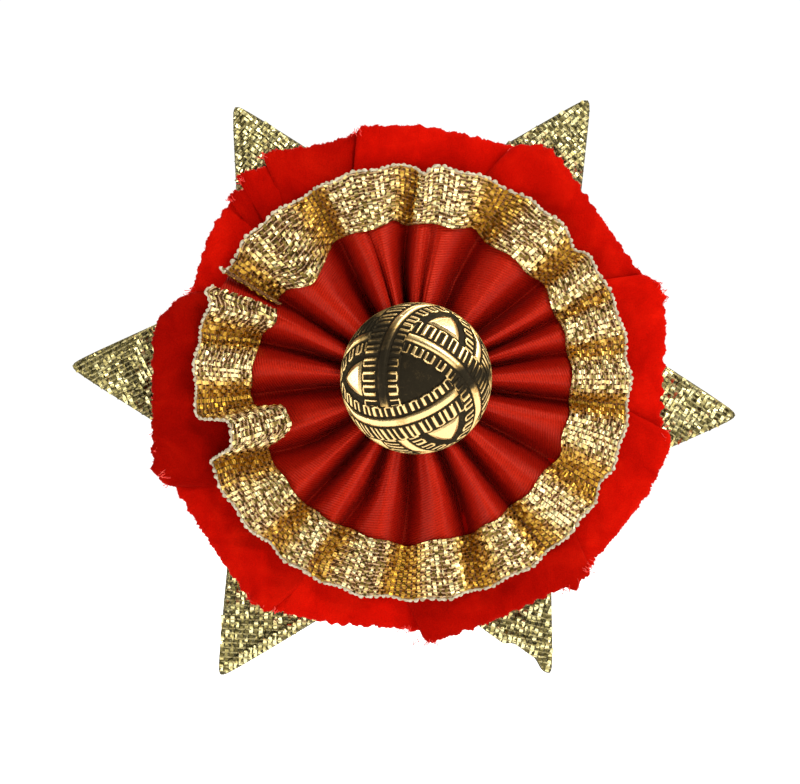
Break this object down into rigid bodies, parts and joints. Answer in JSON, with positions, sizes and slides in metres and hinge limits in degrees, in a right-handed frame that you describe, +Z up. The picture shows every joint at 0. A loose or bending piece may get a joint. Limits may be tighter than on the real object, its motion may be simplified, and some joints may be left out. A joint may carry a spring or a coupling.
{
  "type": "ribbon cockade brooch",
  "caption": "Round award ribbon rosette: domed metal button on gathered satin, ruffled gold ribbon, velvet pleats and a six-pointed folded star, on a bar pin with a safety catch.",
  "frame": {"origin": "on the pin stem's axis, at the middle of the length that holds the cloth", "axes": "+X along the stem towards its point, to the right as seen from the front; +Z up as worn; the face looks along -Y"},
  "size_m": [0.1003, 0.0261, 0.0889],
  "materials": {
    "button_brass": "satin",
    "sewing_thread": "matte",
    "red_satin": "satin",
    "gold_ribbon": "satin",
    "red_velvet": "matte",
    "gold_lame": "satin",
    "foundation_cloth": "matte",
    "backing_felt": "matte",
    "nickel_plate": "satin",
    "pin_steel": "satin",
    "lock_brass": "satin"
  },
  "bodies": {
    "rosette": {"satin_ribbon": "red_satin", "gold_ribbon": "gold_ribbon", "gathering_thread": "sewing_thread", "velvet_petal_1": "red_velvet", "velvet_petal_2": "red_velvet", "velvet_petal_3": "red_velvet", "velvet_petal_4": "red_velvet", "velvet_petal_5": "red_velvet", "velvet_petal_6": "red_velvet", "velvet_petal_7": "red_velvet", "velvet_petal_8": "red_velvet", "velvet_petal_9": "red_velvet", "velvet_petal_10": "red_velvet", "star_point_1": "gold_lame", "star_point_2": "gold_lame", "star_point_3": "gold_lame", "star_point_4": "gold_lame", "star_point_5": "gold_lame", "star_point_6": "gold_lame", "foundation_disc": "foundation_cloth", "felt_backing": "backing_felt", "pin_bar": "nickel_plate", "hinge_rivet": "nickel_plate", "catch_housing": "nickel_plate", "bar_stitches": "sewing_thread"},
    "button": {"button_face": "button_brass", "button_back_plate": "button_brass", "button_shank": "button_brass", "button_thread": "sewing_thread"},
    "pin": {"pin_stem": "pin_steel"},
    "lock": {"safety_lock": "lock_brass"}
  },
  "joints": [
    {"name": "pin_hinge", "type": "hinge", "parent": "rosette", "child": "pin", "pos_m": [-0.0116, 0, 0], "axis": [0, 0, 1], "range_deg": [0, 85]},
    {"name": "lock_turn", "type": "hinge", "parent": "rosette", "child": "lock", "pos_m": [0.0134, 0, 0], "axis": [-1, 0, 0], "range_deg": [0, 90]},
    {"name": "button_swivel", "type": "hinge", "parent": "rosette", "child": "button", "pos_m": [0.002, -0.0177, -0.0083], "axis": [0, -1, 0], "range_deg": [-15, 15], "stiffness_Nm_per_rad": 0.002}
  ]
}
